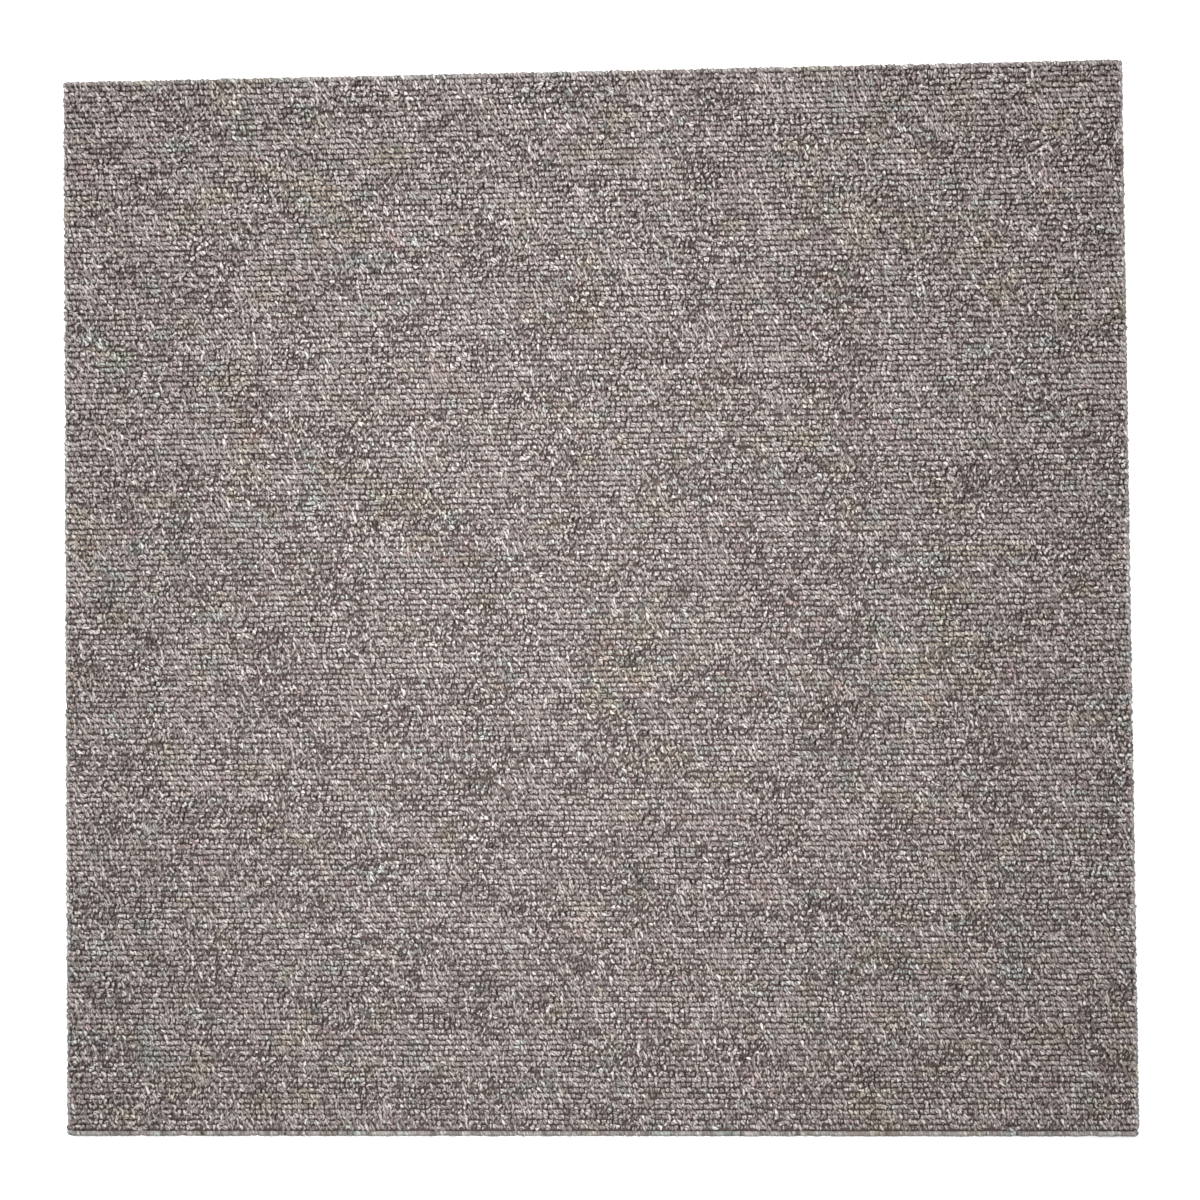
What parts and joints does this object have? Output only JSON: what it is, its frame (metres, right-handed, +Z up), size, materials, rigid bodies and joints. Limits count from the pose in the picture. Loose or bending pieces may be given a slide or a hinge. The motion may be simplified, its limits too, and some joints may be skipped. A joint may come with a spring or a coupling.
{
  "type": "carpet tile",
  "caption": "Square loop-pile carpet tile: level yarn loops tufted in rows through a thin cloth, bonded to a heavy flat backing slab.",
  "frame": {"origin": "centre of the tile's underside, on the floor", "axes": "+Z up through the backing to the pile; the tuft rows run along X; Y is across the rows"},
  "size_m": [0.5, 0.5, 0.0065],
  "materials": {
    "loop_yarn": "heathered mauve-grey yarn loops with pale cool grey, tan and dark red flecks, matt with a slight filament sheen",
    "primary_cloth": "dull mauve-brown dyed spunbond cloth, matt",
    "backing_compound": "matt charcoal filled compound, cut edges and a finely textured underside"
  },
  "bodies": {
    "root": {"loop_pile": "loop_yarn", "primary_cloth": "primary_cloth", "backing_slab": "backing_compound"}
  },
  "joints": []
}
